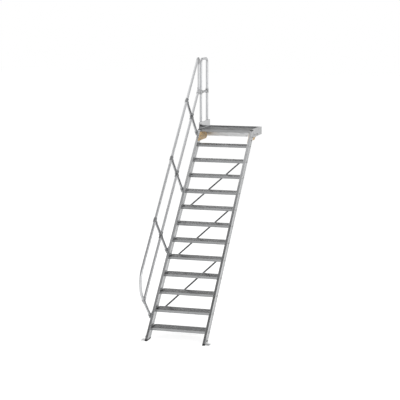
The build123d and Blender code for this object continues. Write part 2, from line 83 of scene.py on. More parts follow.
# Flight and platform
SLOPE = math.radians(45)
SIN = math.sin(SLOPE)
COS = math.cos(SLOPE)
TREAD_COUNT = 12
TREAD_NUMBERS = range(1, TREAD_COUNT + 1)
RISE = 0.215
GOING = 0.215
TREAD_DEPTH = 0.225
TREAD_HEIGHT = 0.035
PLATFORM_TOP = 0.050
PLATFORM_FRONT = -0.600
DECK_PLANKS = ("front", "middle", "rear")
FRAME_TOP = 0.061
FRAME_BOTTOM = -0.061
FRAME_WALL = 0.005
REAR_BEAM_DEPTH = 0.040
GROUND = cad_low.z
INNER_X = 0.403
OUTER_X = 0.441
PLATE_X = 0.398

# Handrail
TUBE_RADIUS = 0.020
SLEEVE_RADIUS = 0.0248
SLEEVE_LENGTH = 0.070
SOCKET_RADIUS = 0.0238
SOCKET_LENGTH = 0.055
RAIL_X = -0.4678
TOP_RAIL_RISE = 1.080
KNEE_RAIL_RISE = 0.540
TOP_RAIL_OUT = TOP_RAIL_RISE * COS
KNEE_RAIL_OUT = KNEE_RAIL_RISE * COS
POST_PLATE_MIDDLE = -0.015
POST_SLEEVE_HALF = 0.040
POST_LOW = -0.055
POST_COUNT = 4
LEG_SETBACK = 0.418
LEG_STATION = (GROUND - PLATFORM_TOP) / SIN + LEG_SETBACK
LAST_STATION = -0.062
POST_SPACING = (LAST_STATION - LEG_STATION) / (POST_COUNT - 1)
POST_STATIONS = [LEG_STATION + index * POST_SPACING for index in range(POST_COUNT)]
RETURN_Y = -0.515
KNEE_END_HEIGHT = PLATFORM_TOP + (RETURN_Y - PLATFORM_FRONT) * SIN / COS + KNEE_RAIL_OUT / COS
BEND_RADIUS = 0.034
UPPER_BEND = (RAIL_X, RETURN_Y - BEND_RADIUS, cad_high.z - TUBE_RADIUS - BEND_RADIUS)

# Hoop and braces
HOOP_FRONT = -0.395
HOOP_REAR = -0.035
HOOP_MID_RISE = 0.575
HOOP_MID = PLATFORM_TOP + HOOP_MID_RISE
BRACE_BACK_OUT = -0.19085
BRACE_LOW_X = -0.373
BRACE_HIGH_X = 0.288
BRACE_TREADS = 3
BRACE_FIRST_TREADS = (2, 5, 8)
BRACE_STATION_DROP = 0.018

# Directions
RIGHT = Vector((1, 0, 0))
LEFT = Vector((-1, 0, 0))
UP = Vector((0, 0, 1))
DOWN = Vector((0, 0, -1))
BACK = Vector((0, 1, 0))
UP_SLOPE = Vector((0, COS, SIN))
OFF_SLOPE = Vector((0, -SIN, COS))
SIDES = ((-1, LEFT), (1, RIGHT))

# Grain directions, as turns that lay a piece's long way on the pattern's X axis
QUARTER_TURN = math.pi / 2
ALONG_SLOPE = (0, SLOPE, -QUARTER_TURN)
ALONG_POST = (0, -SLOPE, -QUARTER_TURN)
ALONG_X = (0, 0, 0)
ALONG_Y = (0, 0, -QUARTER_TURN)
ALONG_Z = (0, QUARTER_TURN, 0)

# Colour, grain and roughness of each finish
STRINGER_FINISH = dict(colour=(0.42, 0.425, 0.43), turn=ALONG_SLOPE, roughness=0.25)
# Tread and deck tops are painted darker as shade, by their top tone
TREAD_FINISH = dict(colour=(0.32, 0.325, 0.33), turn=ALONG_X, roughness=0.26, top_shade_tone=0.67)
# The tread end plates are coloured dark: painted shade where each tread meets the stringers
END_PLATE_SHADE_FINISH = dict(colour=(0.23, 0.235, 0.24), turn=ALONG_Y, roughness=0.2)
FLOOR_BRACKET_FINISH = dict(colour=(0.62, 0.625, 0.63), turn=ALONG_Y, roughness=0.3)
BRACE_FINISH = dict(colour=(0.42, 0.425, 0.43), turn=ALONG_SLOPE, roughness=0.3)
DECK_FINISH = dict(colour=(0.34, 0.345, 0.35), turn=ALONG_X, roughness=0.35, top_shade_tone=0.52)
SIDE_BEAM_FINISH = dict(colour=(0.42, 0.425, 0.43), turn=ALONG_Y, roughness=0.3)
REAR_BEAM_FINISH = dict(colour=(0.45, 0.455, 0.46), turn=ALONG_X, roughness=0.3)
# The cross beam's near-white colour is painted light, a lit copy of the frame's aluminium
CROSS_BEAM_LIT_FINISH = dict(colour=(0.92, 0.925, 0.93), turn=ALONG_X, roughness=0.38)
TOE_BOARD_FINISH = dict(colour=(0.47, 0.475, 0.48), turn=ALONG_Y, roughness=0.1)
# The posts are a darker copy of the rails' tube finish: painted shade
POST_SHADED_FINISH = dict(colour=(0.45, 0.455, 0.465), turn=ALONG_POST, roughness=0.3)
# The rail's upper bend is painted darker, as shade
RAIL_FINISH = dict(colour=(0.59, 0.595, 0.605), turn=ALONG_SLOPE, roughness=0.3, bend=UPPER_BEND)
HOOP_FINISH = dict(colour=(0.53, 0.535, 0.545), turn=ALONG_Z, roughness=0.3)
HOOP_RAIL_FINISH = dict(colour=(0.4, 0.405, 0.415), turn=ALONG_Y, roughness=0.3)
RAIL_FITTING_FINISH = dict(colour=(0.3, 0.305, 0.31), roughness=0.45)
KNEE_END_FINISH = dict(colour=(0.5, 0.505, 0.515), roughness=0.35)
HOOP_FITTING_FINISH = dict(colour=(0.36, 0.365, 0.37), roughness=0.4)
BOLT_FINISH = dict(colour=(0.42, 0.425, 0.435), warm_colour=(0.45, 0.44, 0.41), roughness=0.35)
AMBER_FINISH = dict(
    colour=(0.72, 0.475, 0.2),
    deep_colour=(0.66, 0.42, 0.155),
    worn_colour=(0.72, 0.61, 0.43),
    roughness=0.4,
)
PLASTIC_FINISH = dict(colour=(0.028, 0.028, 0.028), dusty_colour=(0.06, 0.058, 0.055), roughness=0.6)

# Ranges of noise, and what they are taken to
FULL = (0.0, 1.0)
CLOUD_RANGE = (0.3, 0.7)
PATCH_RANGE = (0.35, 0.65)

# Extruded aluminium: scales per metre, noise details, and tones as shares of the colour
LINE_STRETCH = (1.2, 90, 90)
LINE_SCALE = 4.0
LINE_DETAIL = 6
LINE_TONES = (0.9, 1.08)
LINE_RELIEF = dict(strength=0.12, distance=0.0006)
CLOUD_SCALE = 3.5
CLOUD_DETAIL = 4
CLOUD_SHEEN = (0.85, 1.2)
SCUFF_STRETCH = (1, 2.5, 2.5)
SCUFF_SCALE = 14.0
SCUFF_DETAIL = 8
SCUFF_RANGE = (0.56, 0.7)
SCUFF_TONE = 0.86
SCUFF_ROUGHNESS = (0.0, 0.07)
# Rounded edges are lightened: partly rubbing, partly a painted highlight
EDGE_MARK = "rubbed_and_highlit_edge"
EDGE_PATCH_SCALE = 9.0
EDGE_PATCH_DETAIL = 3
EDGE_PATCH_STRENGTH = (0.4, 1.0)
EDGE_HIGHLIGHT_AND_RUB_TONE = 1.5
# How far a face must look up to take the painted top shade
SHADED_TOP_FACING = (0.6, 0.95)
# Painted shade at the rail's upper bend: its reach, fade and tone
BEND_SHADE_REACH = (0.040, 0.070)
BEND_SHADE_FADE = (1.0, 0.0)
BEND_SHADE_TONE = 0.5

# Galvanised castings
FLAKE_SCALE = 160.0
FLAKE_TONES = (0.84, 1.16)
FLAKE_SHEEN = (0.8, 1.2)
STAIN_SCALE = 14.0
STAIN_DETAIL = 5
STAIN_RANGE = (0.55, 0.75)
STAIN_TONE = 0.7
SKIN_SCALE = 420.0
SKIN_DETAIL = 3
SKIN_RELIEF = dict(strength=0.2, distance=0.0004)

# Zinc
ZINC_PATCH_SCALE = 130.0
ZINC_PATCH_DETAIL = 4
ZINC_SHEEN = (0.75, 1.3)
PIT_SCALE = 672.0
PIT_DETAIL = 4
PIT_RELIEF = dict(strength=0.12, distance=0.0002)

# Amber plate
AMBER_PATCH_SCALE = 22.0
AMBER_PATCH_DETAIL = 5
AMBER_TONE = 1.04
AMBER_SHEEN = (0.8, 1.25)
ROLLING_DETAIL = 5
ROLLING_RANGE = (0.3, 0.8)
ROLLING_SHARE = (0.0, 0.35)
ROLLING_TONE = 0.85
ROLLING_RELIEF = dict(strength=0.15, distance=0.0004)
WORN_SCALE = 56.0
WORN_DETAIL = 7
WORN_RANGE = (0.6, 0.74)

# Black plastic
GRAIN_SCALE = 900.0
GRAIN_DETAIL = 2
GRAIN_TONES = (0.75, 1.25)
GRAIN_RELIEF = dict(strength=0.25, distance=0.0003)
DUST_SCALE = 28.0
DUST_DETAIL = 8
DUST_RANGE = (0.5, 0.72)
DUST_SHEEN_RANGE = (0.35, 0.7)
DUST_SHEEN = (0.8, 1.3)

# Bolts: sizes, places, and the shape of head and washer as shares of their sizes
TREAD_BOLT = dict(head_radius=0.0058, head_height=0.0040, washer_radius=0.0064, washer_height=0.0014)
PLATE_BOLT = dict(head_radius=0.0100, head_height=0.0068, washer_radius=0.0125, washer_height=0.0020)
TREAD_BOLTS = (0.009, 0.058)
SPLICE_BOLTS = ((-0.683, -0.098), (-0.640, -0.048), (-0.460, -0.030), (-0.300, -0.030))
BRACKET_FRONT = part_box("left_floor_bracket")[0][1]
BRACKET_PLATE = 0.006
BRACKET_BOLT_HEIGHT = 0.042
BRACKET_BOLTS = (0.028, 0.072)
POST_BOLT_REACH = 0.038
WASHER_SIDES = 16
WASHER_EASE = 0.4
HEAD_SIDES = 6
HEAD_CHAMFER = 0.14
HEAD_CROWN = 0.16

# Screws and plugs, shaped in the same way
SCREW_RADIUS = 0.0045
SCREW_HEIGHT = 0.0020
SCREW_SINK = 0.3
SCREW_SETBACK = 0.014
DECK_SCREW_RADIUS = 0.006
DECK_SCREW_HEIGHT = 0.0008
DECK_SCREW_SINK = 0.2
DECK_SCREW_SETBACK = 0.035
DECK_SCREW_X = 0.380
SCREW_SIDES = 18
SCREW_EASE = 0.4
SCREW_RIM = 0.45
RECESS_DRAFT = 0.03
RECESS_DEPTH = 0.7
PLUG_HEIGHT = 0.004
PLUG_SIDES = 28
PLUG_EASE = 0.6
PLUG_RIM = 0.35
PLUG_CROWN = 0.12

# Collars at the mouths of the tube fittings
COLLAR_LENGTH = 0.007
COLLAR_PROUD = 0.0014
COLLAR_SINK = 0.001
COLLAR_SIDES = 36
COLLAR_EASE = 0.3

# Tread end plates, rear beam caps, toe board, feet and caps
END_PLATE_THICKNESS = 0.004
END_PLATE_FRONT = 0.020
END_PLATE_REAR = 0.225
END_PLATE_TOP = 0.030
END_PLATE_SLANT_START = 0.060
END_PLATE_EASE = 0.0012
BEAM_CAP_THICKNESS = 0.004
BEAM_CAP_SINK = 0.0006
BEAM_CAP_RIM = 0.006
BEAM_CAP_RECESS = 0.0008
BEAM_CAP_EASE = 0.0008
TOE_BOARD_RIM = 0.010
TOE_BOARD_RECESS = 0.0015
TOE_BOARD_ROUND = 0.005
TOE_BOARD_SEGMENTS = 3
TOE_BOARD_TOP_BAND = 0.001
FOOT_EASE = 0.002
CAP_EASE = 0.0015

# Modelling limits
EASE_SEGMENTS = 2
FACING_LIMIT = 0.9
TOP_SHARE = 0.9
FLAT_LIMIT = 0.97
FLAT_WEIGHT = 100
SMOOTH_ANGLE = math.radians(32)
FLAT_ANGLE = math.radians(1)
MERGE_DISTANCE = 0.00002


def add_lamp(name, place, target, size, power):
    """A square softbox that looks at a point."""
    data = bpy.data.lights.new(name, "AREA")
    data.shape = "SQUARE"
    data.size = size
    data.energy = power
    lamp = bpy.data.objects.new(name, data)
    bpy.context.scene.collection.objects.link(lamp)
    lamp.location = place
    lamp.rotation_euler = (Vector(target) - Vector(place)).to_track_quat("-Z", "Y").to_euler()


def set_camera():
    """A long lens from the front right, about two metres above the platform."""
    data = bpy.data.cameras.new("photo_camera")
    data.lens = CAMERA_LENS
    data.sensor_width = SENSOR_WIDTH
    data.clip_end = CAMERA_REACH
    camera = bpy.data.objects.new("photo_camera", data)
    bpy.context.scene.collection.objects.link(camera)
    camera.location = CAMERA_PLACE
    camera.rotation_euler = (QUARTER_TURN - CAMERA_PITCH, 0, CAMERA_AZIMUTH)
    bpy.context.scene.camera = camera


def set_world():
    """A round studio: white walls that turn grey towards the ceiling."""
    world = bpy.data.worlds.new("studio_walls")
    bpy.context.scene.world = world
    world.use_nodes = True
    tree = world.node_tree
    background = tree.nodes["Background"]
    background.inputs["Color"].default_value = WHITE
    direction = tree.nodes.new("ShaderNodeTexCoord")
    parts = tree.nodes.new("ShaderNodeSeparateXYZ")
    height = tree.nodes.new("ShaderNodeMapRange")
    height.interpolation_type = "SMOOTHSTEP"
    height.inputs["From Min"].default_value = HORIZON_TOP
    height.inputs["From Max"].default_value = ZENITH_START
    height.inputs["To Min"].default_value = HORIZON_LEVEL
    height.inputs["To Max"].default_value = ZENITH_LEVEL
    tree.links.new(direction.outputs["Generated"], parts.inputs["Vector"])
    tree.links.new(parts.outputs["Z"], height.inputs["Value"])
    tree.links.new(height.outputs["Result"], background.inputs["Strength"])


def set_floor():
    """A pale floor, lifted to white for the camera and in reflections, that keeps the stair's shadow."""
    bpy.ops.mesh.primitive_plane_add(size=FLOOR_SIZE, location=(0, 0, cad_low.z - FLOOR_DROP))
    floor = bpy.context.active_object
    floor.name = "studio_floor"
    material = bpy.data.materials.new("pale_floor")
    material.use_nodes = True
    tree = material.node_tree
    tree.nodes.remove(tree.nodes["Principled BSDF"])
    output = tree.nodes["Material Output"]
    matt = tree.nodes.new("ShaderNodeBsdfDiffuse")
    matt.inputs["Color"].default_value = FLOOR_COLOUR
    glow = tree.nodes.new("ShaderNodeEmission")
    glow.inputs["Color"].default_value = WHITE
    path = tree.nodes.new("ShaderNodeLightPath")
    seen = reckon(tree, "MAXIMUM", path.outputs["Is Camera Ray"], path.outputs["Is Glossy Ray"])
    shown = reckon(tree, "MAXIMUM", seen, path.outputs["Is Transmission Ray"])
    lift = reckon(tree, "MULTIPLY", shown, FLOOR_LIFT)
    both = tree.nodes.new("ShaderNodeAddShader")
    tree.links.new(lift, glow.inputs["Strength"])
    tree.links.new(matt.outputs["BSDF"], both.inputs[0])
    tree.links.new(glow.outputs["Emission"], both.inputs[1])
    tree.links.new(both.outputs["Shader"], output.inputs["Surface"])
    floor.data.materials.append(material)


def start_finish(name, metallic):
    """A new material, with its node tree, its shader and the piece's own coordinates."""
    material = bpy.data.materials.new(name)
    material.use_nodes = True
    tree = material.node_tree
    shader = tree.nodes["Principled BSDF"]
    shader.inputs["Metallic"].default_value = metallic
    place = tree.nodes.new("ShaderNodeTexCoord")
    return material, tree, shader, place.outputs["Object"]


def shade(colour, factor=1.0):
    """A colour made lighter or darker, as a node's colour."""
    return (*[min(value * factor, 1.0) for value in colour], 1)


def scaled(pair, factor):
    """Two shares of a value, as plain numbers."""
    return tuple(share * factor for share in pair)


def fill(tree, socket, value):
    """Link a socket to another node's output, or set it to a plain value."""
    if isinstance(value, bpy.types.NodeSocket):
        tree.links.new(value, socket)
    else:
        socket.default_value = value


def mapped(tree, vector, turn, stretch):
    """Coordinates turned to a piece's long way, then stretched along it."""
    turned = tree.nodes.new("ShaderNodeMapping")
    turned.inputs["Rotation"].default_value = turn
    stretched = tree.nodes.new("ShaderNodeMapping")
    stretched.inputs["Scale"].default_value = stretch
    tree.links.new(vector, turned.inputs["Vector"])
    tree.links.new(turned.outputs["Vector"], stretched.inputs["Vector"])
    return stretched.outputs["Vector"]


def noise(tree, vector, scale, detail):
    """Soft noise at a scale per metre."""
    texture = tree.nodes.new("ShaderNodeTexNoise")
    texture.inputs["Scale"].default_value = scale
    texture.inputs["Detail"].default_value = detail
    tree.links.new(vector, texture.inputs["Vector"])
    return texture.outputs["Fac"]


def remap(tree, value, span, result):
    """A value taken from one range to another, and held inside it."""
    node = tree.nodes.new("ShaderNodeMapRange")
    node.inputs["From Min"].default_value = span[0]
    node.inputs["From Max"].default_value = span[1]
    node.inputs["To Min"].default_value = result[0]
    node.inputs["To Max"].default_value = result[1]
    tree.links.new(value, node.inputs["Value"])
    return node.outputs["Result"]


def reckon(tree, operation, first, second):
    """One sum of two values that change over the surface."""
    node = tree.nodes.new("ShaderNodeMath")
    node.operation = operation
    fill(tree, node.inputs[0], first)
    fill(tree, node.inputs[1], second)
    return node.outputs["Value"]


def mix(tree, factor, first, second):
    """Two colours mixed by a factor that changes over the surface."""
    node = tree.nodes.new("ShaderNodeMix")
    node.data_type = "RGBA"
    fill(tree, node.inputs["Factor"], factor)
    fill(tree, node.inputs["A"], first)
    fill(tree, node.inputs["B"], second)
    return node.outputs["Result"]


def two_tones(tree, factor, colour, tones):
    """A darker and a lighter tone of one colour, mixed by a factor that changes over the surface."""
    darker, lighter = tones
    return mix(tree, factor, shade(colour, darker), shade(colour, lighter))


def emboss(tree, shader, height, strength, distance):
    """Fine relief from a pattern."""
    bump = tree.nodes.new("ShaderNodeBump")
    bump.inputs["Strength"].default_value = strength
    bump.inputs["Distance"].default_value = distance
    tree.links.new(height, bump.inputs["Height"])
    tree.links.new(bump.outputs["Normal"], shader.inputs["Normal"])


def colour_and_gloss(tree, shader, tone, rough):
    """Give a shader its colour and its roughness."""
    tree.links.new(tone, shader.inputs["Base Color"])
    tree.links.new(rough, shader.inputs["Roughness"])


def rubbed_and_highlit_edges(tree, place):
    """Where a piece's rounded edges are rubbed and given a painted highlight, broken up along their
    length.
    """
    edges = tree.nodes.new("ShaderNodeAttribute")
    edges.attribute_name = EDGE_MARK
    patches = noise(tree, place, EDGE_PATCH_SCALE, EDGE_PATCH_DETAIL)
    rub_and_highlight = remap(tree, patches, PATCH_RANGE, EDGE_PATCH_STRENGTH)
    return reckon(tree, "MULTIPLY", edges.outputs["Fac"], rub_and_highlight)


def painted_top_shade(tree):
    """How far a surface faces up, where its tops take painted shade."""
    surface = tree.nodes.new("ShaderNodeNewGeometry")
    parts = tree.nodes.new("ShaderNodeSeparateXYZ")
    tree.links.new(surface.outputs["Normal"], parts.inputs["Vector"])
    return remap(tree, parts.outputs["Z"], SHADED_TOP_FACING, FULL)


def near_shaded_bend(tree, vector, bend):
    """How near a surface is to the middle of a tube's bend, fading to nothing outside it, for the painted
    shade there.
    """
    node = tree.nodes.new("ShaderNodeVectorMath")
    node.operation = "DISTANCE"
    node.inputs[1].default_value = bend
    tree.links.new(vector, node.inputs[0])
    return remap(tree, node.outputs["Value"], BEND_SHADE_REACH, BEND_SHADE_FADE)


def aluminium(name, colour, turn, roughness, top_shade_tone=1.0, bend=None):
    """Extruded aluminium: die lines, cloudy sheen, scuffs, rubbed edges with a painted highlight, and
    painted shade on tops or a bend.
    """
    material, tree, shader, place = start_finish(name, 1.0)
    lines = noise(tree, mapped(tree, place, turn, LINE_STRETCH), LINE_SCALE, LINE_DETAIL)
    clouds = noise(tree, place, CLOUD_SCALE, CLOUD_DETAIL)
    marks = noise(tree, mapped(tree, place, turn, SCUFF_STRETCH), SCUFF_SCALE, SCUFF_DETAIL)
    tone = two_tones(tree, lines, colour, LINE_TONES)
    tone = mix(tree, remap(tree, marks, SCUFF_RANGE, FULL), tone, shade(colour, SCUFF_TONE))
    # Faces that look up are painted darker: painted shade
    if top_shade_tone < 1.0:
        shaded_tops = two_tones(tree, lines, colour, scaled(LINE_TONES, top_shade_tone))
        tone = mix(tree, painted_top_shade(tree), tone, shaded_tops)
    # The tube's bend is painted darker: painted shade
    if bend:
        tone = mix(tree, near_shaded_bend(tree, place, bend), tone, shade(colour, BEND_SHADE_TONE))
    # Rounded edges are lightened: rubbed metal, and in part a painted highlight
    tone = mix(tree, rubbed_and_highlit_edges(tree, place), tone, shade(colour, EDGE_HIGHLIGHT_AND_RUB_TONE))
    sheen = remap(tree, clouds, CLOUD_RANGE, scaled(CLOUD_SHEEN, roughness))
    rough = reckon(tree, "ADD", sheen, remap(tree, marks, SCUFF_RANGE, SCUFF_ROUGHNESS))
    colour_and_gloss(tree, shader, tone, rough)
    emboss(tree, shader, lines, **LINE_RELIEF)
    return material


def cast_metal(name, colour, roughness):
    """Galvanised castings: a flaked coat with darker stains, over a sandy skin."""
    material, tree, shader, place = start_finish(name, 1.0)
    flakes = tree.nodes.new("ShaderNodeTexVoronoi")
    flakes.inputs["Scale"].default_value = FLAKE_SCALE
    tree.links.new(place, flakes.inputs["Vector"])
    parts = tree.nodes.new("ShaderNodeSeparateColor")
    tree.links.new(flakes.outputs["Color"], parts.inputs["Color"])
    stains = noise(tree, place, STAIN_SCALE, STAIN_DETAIL)
    skin = noise(tree, place, SKIN_SCALE, SKIN_DETAIL)
    tone = two_tones(tree, parts.outputs["Red"], colour, FLAKE_TONES)
    tone = mix(tree, remap(tree, stains, STAIN_RANGE, FULL), tone, shade(colour, STAIN_TONE))
    rough = remap(tree, parts.outputs["Green"], FULL, scaled(FLAKE_SHEEN, roughness))
    colour_and_gloss(tree, shader, tone, rough)
    emboss(tree, shader, skin, **SKIN_RELIEF)
    return material


def zinc(name, colour, warm_colour, roughness):
    """Bright zinc: a cool and a warm tint in soft patches, with a finely pitted skin."""
    material, tree, shader, place = start_finish(name, 1.0)
    patches = noise(tree, place, ZINC_PATCH_SCALE, ZINC_PATCH_DETAIL)
    pits = noise(tree, place, PIT_SCALE, PIT_DETAIL)
    tone = mix(tree, remap(tree, patches, PATCH_RANGE, FULL), shade(colour), shade(warm_colour))
    rough = remap(tree, patches, CLOUD_RANGE, scaled(ZINC_SHEEN, roughness))
    colour_and_gloss(tree, shader, tone, rough)
    emboss(tree, shader, pits, **PIT_RELIEF)
    return material


def passivated_steel(name, colour, deep_colour, worn_colour, roughness):
    """Amber passivated plate: two ambers in soft patches, rolling lines, and spots rubbed down to zinc."""
    material, tree, shader, place = start_finish(name, 0.0)
    patches = noise(tree, place, AMBER_PATCH_SCALE, AMBER_PATCH_DETAIL)
    lines = noise(tree, mapped(tree, place, ALONG_Y, LINE_STRETCH), LINE_SCALE, ROLLING_DETAIL)
    spots = noise(tree, place, WORN_SCALE, WORN_DETAIL)
    ambers = remap(tree, patches, PATCH_RANGE, FULL)
    tone = mix(tree, ambers, shade(colour, AMBER_TONE), shade(deep_colour))
    rolled = remap(tree, lines, ROLLING_RANGE, ROLLING_SHARE)
    tone = mix(tree, rolled, tone, shade(colour, ROLLING_TONE))
    tone = mix(tree, remap(tree, spots, WORN_RANGE, FULL), tone, shade(worn_colour))
    rough = remap(tree, patches, CLOUD_RANGE, scaled(AMBER_SHEEN, roughness))
    colour_and_gloss(tree, shader, tone, rough)
    emboss(tree, shader, lines, **ROLLING_RELIEF)
    return material


def moulded_plastic(name, colour, dusty_colour, roughness):
    """Black plastic with a fine moulded grain and dusty scuffs."""
    material, tree, shader, place = start_finish(name, 0.0)
    grain = noise(tree, place, GRAIN_SCALE, GRAIN_DETAIL)
    dust = noise(tree, place, DUST_SCALE, DUST_DETAIL)
    tone = two_tones(tree, grain, colour, GRAIN_TONES)
    tone = mix(tree, remap(tree, dust, DUST_RANGE, FULL), tone, shade(dusty_colour))
    rough = remap(tree, dust, DUST_SHEEN_RANGE, scaled(DUST_SHEEN, roughness))
    colour_and_gloss(tree, shader, tone, rough)
    emboss(tree, shader, grain, **GRAIN_RELIEF)
    return material


def on_slope(x, along, out):
    """A point along the nosing line from the platform's edge, and square out from that line."""
    y = PLATFORM_FRONT + along * COS - out * SIN
    z = PLATFORM_TOP + along * SIN + out * COS
    return Vector((x, y, z))


def nosing(number):
    """Y and Z of a tread's nosing, counted from the ground."""
    steps = TREAD_COUNT + 1 - number
    return PLATFORM_FRONT - steps * GOING, PLATFORM_TOP - steps * RISE


def facing(place, direction):
    """The turn and place that stand a model on a point, with its own Z along a direction."""
    return Matrix.Translation(place) @ direction.to_track_quat("Z", "Y").to_matrix().to_4x4()


def clear_selection():
    """Leave every piece unselected, so that the next tool acts on the new one alone."""
    bpy.ops.object.select_all(action="DESELECT")


def open_for_edit(piece):
    """Select one piece alone and go into edit mode."""
    clear_selection()
    piece.select_set(True)
    bpy.context.view_layer.objects.active = piece
    bpy.ops.object.mode_set(mode="EDIT")


def close_edit():
    """Leave edit mode."""
    bpy.ops.object.mode_set(mode="OBJECT")


def select_faces(test):
    """In edit mode, select the faces whose normal passes a test."""
    bpy.ops.mesh.select_mode(type="FACE")
    bpy.ops.mesh.select_all(action="DESELECT")
    data = bpy.context.edit_object.data
    mesh = bmesh.from_edit_mesh(data)
    for face in mesh.faces:
        if test(face.normal):
            face.select_set(True)
    bmesh.update_edit_mesh(data)


def select_top():
    """In edit mode, select the faces that look up."""
    select_faces(lambda normal: normal.z > FACING_LIMIT)


def select_edges(test):
    """In edit mode, select the edges whose two ends both pass a test."""
    bpy.ops.mesh.select_mode(type="EDGE")
    bpy.ops.mesh.select_all(action="DESELECT")
    data = bpy.context.edit_object.data
    mesh = bmesh.from_edit_mesh(data)
    for edge in mesh.edges:
        if all(test(vertex.co) for vertex in edge.verts):
            edge.select_set(True)
    bmesh.update_edit_mesh(data)


def join_models(models):
    """Join models into the first one, with its place in its mesh."""
    clear_selection()
    for model in models:
        model.select_set(True)
    bpy.context.view_layer.objects.active = models[0]
    bpy.ops.object.join()
    bpy.ops.object.transform_apply(location=True, rotation=True, scale=True)
    return models[0]


def lay_copies(model, name, places):
    """Copy a model to each place, each with its own mesh, and join the copies into one piece."""
    copies = []
    for place in places:
        copy = model.copy()
        copy.data = model.data.copy()
        bpy.context.scene.collection.objects.link(copy)
        copy.matrix_world = place
        copies.append(copy)
    bpy.data.objects.remove(model, do_unlink=True)
    piece = join_models(copies)
    piece.name = name
    piece.data.name = name
    return piece


def dress(piece, material):
    """Give a finished piece its shading, finish, body and slot."""
    clear_selection()
    piece.select_set(True)
    bpy.context.view_layer.objects.active = piece
    bpy.ops.object.shade_smooth_by_angle(angle=SMOOTH_ANGLE)
    piece.data.materials.clear()
    piece.data.materials.append(material)
    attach(piece, BODY)


def start_round(sides, radius, length, middle):
    """A cylinder that a round model starts from, along Z, with its middle at a height."""
    clear_selection()
    bpy.ops.mesh.primitive_cylinder_add(
        vertices=sides, radius=radius, depth=length, location=(0, 0, middle)
    )
    return bpy.context.active_object


def model_round(sides, radius, height, ease):
    """A disc that stands on its place, with its top rim eased by a share of its height."""
    disc = start_round(sides, radius, height, height / 2)
    bpy.ops.object.transform_apply(location=True, rotation=True, scale=True)
    open_for_edit(disc)
    select_edges(lambda point: point.z > height * TOP_SHARE)
    bpy.ops.mesh.bevel(offset=height * ease, segments=EASE_SEGMENTS)
    close_edit()
    return disc


def model_bolt(head_radius, head_height, washer_radius, washer_height):
    """A hexagon head with a chamfered top, on a washer."""
    washer = model_round(WASHER_SIDES, washer_radius, washer_height, WASHER_EASE)
    head = start_round(HEAD_SIDES, head_radius, head_height, washer_height + head_height / 2)
    open_for_edit(head)
    select_top()
    bpy.ops.mesh.inset(thickness=head_radius * HEAD_CHAMFER)
    bpy.ops.transform.translate(value=(0, 0, head_height * HEAD_CROWN))
    close_edit()
    return join_models([head, washer])


def model_screw(radius, height):
    """A round screw head with a round recess."""
    screw = model_round(SCREW_SIDES, radius, height, SCREW_EASE)
    open_for_edit(screw)
    select_top()
    bpy.ops.mesh.inset(thickness=radius * SCREW_RIM)
    bpy.ops.mesh.inset(thickness=radius * RECESS_DRAFT, depth=-height * RECESS_DEPTH)
    close_edit()
    return screw


def model_plug(radius, height):
    """A tube's end plug, with a rounded rim and a slightly raised face."""
    plug = model_round(PLUG_SIDES, radius, height, PLUG_EASE)
    open_for_edit(plug)
    select_top()
    bpy.ops.mesh.inset(thickness=radius * PLUG_RIM)
    bpy.ops.transform.translate(value=(0, 0, height * PLUG_CROWN))
    close_edit()
    return plug


def model_collar(bore, radius, length):
    """A ring round a fitting's mouth, with rounded rims."""
    collar = start_round(COLLAR_SIDES, radius, length, 0)
    open_for_edit(collar)
    select_faces(lambda normal: abs(normal.z) > FACING_LIMIT)
    bpy.ops.mesh.inset(thickness=radius - bore)
    bpy.ops.mesh.bridge_edge_loops()
    rim = (radius + bore) / 2
    bpy.ops.mesh.select_mode(type="EDGE")
    bpy.ops.mesh.select_all(action="DESELECT")
    data = bpy.context.edit_object.data
    mesh = bmesh.from_edit_mesh(data)
    for edge in mesh.edges:
        ends = [vertex.co for vertex in edge.verts]
        outside = all(math.hypot(end.x, end.y) > rim for end in ends)
        level = abs(ends[0].z - ends[1].z) < length / 2
        edge.select_set(outside and level)
    bmesh.update_edit_mesh(data)
    bpy.ops.mesh.bevel(offset=length * COLLAR_EASE, segments=EASE_SEGMENTS)
    bpy.ops.mesh.select_all(action="SELECT")
    bpy.ops.mesh.normals_make_consistent(inside=False)
    close_edit()
    return collar


def model_end_plate():
    """A plate that closes a tread's end, with its upper edge cut on a slant towards the back."""
    clear_selection()
    middle_y = (END_PLATE_FRONT + END_PLATE_REAR) / 2
    middle_z = (END_PLATE_TOP - TREAD_HEIGHT) / 2
    bpy.ops.mesh.primitive_cube_add(size=1, location=(0, middle_y, middle_z))
    plate = bpy.context.active_object
    plate.scale = (END_PLATE_THICKNESS, END_PLATE_REAR - END_PLATE_FRONT, END_PLATE_TOP + TREAD_HEIGHT)
    bpy.ops.object.transform_apply(location=True, rotation=True, scale=True)
    open_for_edit(plate)
    bpy.ops.mesh.select_all(action="SELECT")
    start = (0, END_PLATE_SLANT_START, END_PLATE_TOP)
    slant = Vector((0, END_PLATE_TOP, END_PLATE_REAR - END_PLATE_SLANT_START)).normalized()
    bpy.ops.mesh.bisect(plane_co=start, plane_no=slant, use_fill=True, clear_outer=True)
    bpy.ops.mesh.select_all(action="SELECT")
    bpy.ops.mesh.bevel(offset=END_PLATE_EASE, segments=EASE_SEGMENTS)
    close_edit()
    return plate


def make_tread_end_plates(material):
    """Plates at both ends of every tread, against the stringers' inner faces, coloured dark as painted
    shade.
    """
    places = []
    x = INNER_X - END_PLATE_THICKNESS / 2
    for number in TREAD_NUMBERS:
        y, z = nosing(number)
        for side in (-1, 1):
            places.append(Matrix.Translation((side * x, y, z)))
    plates = lay_copies(model_end_plate(), "tread_end_shade_plates", places)
    dress(plates, material)


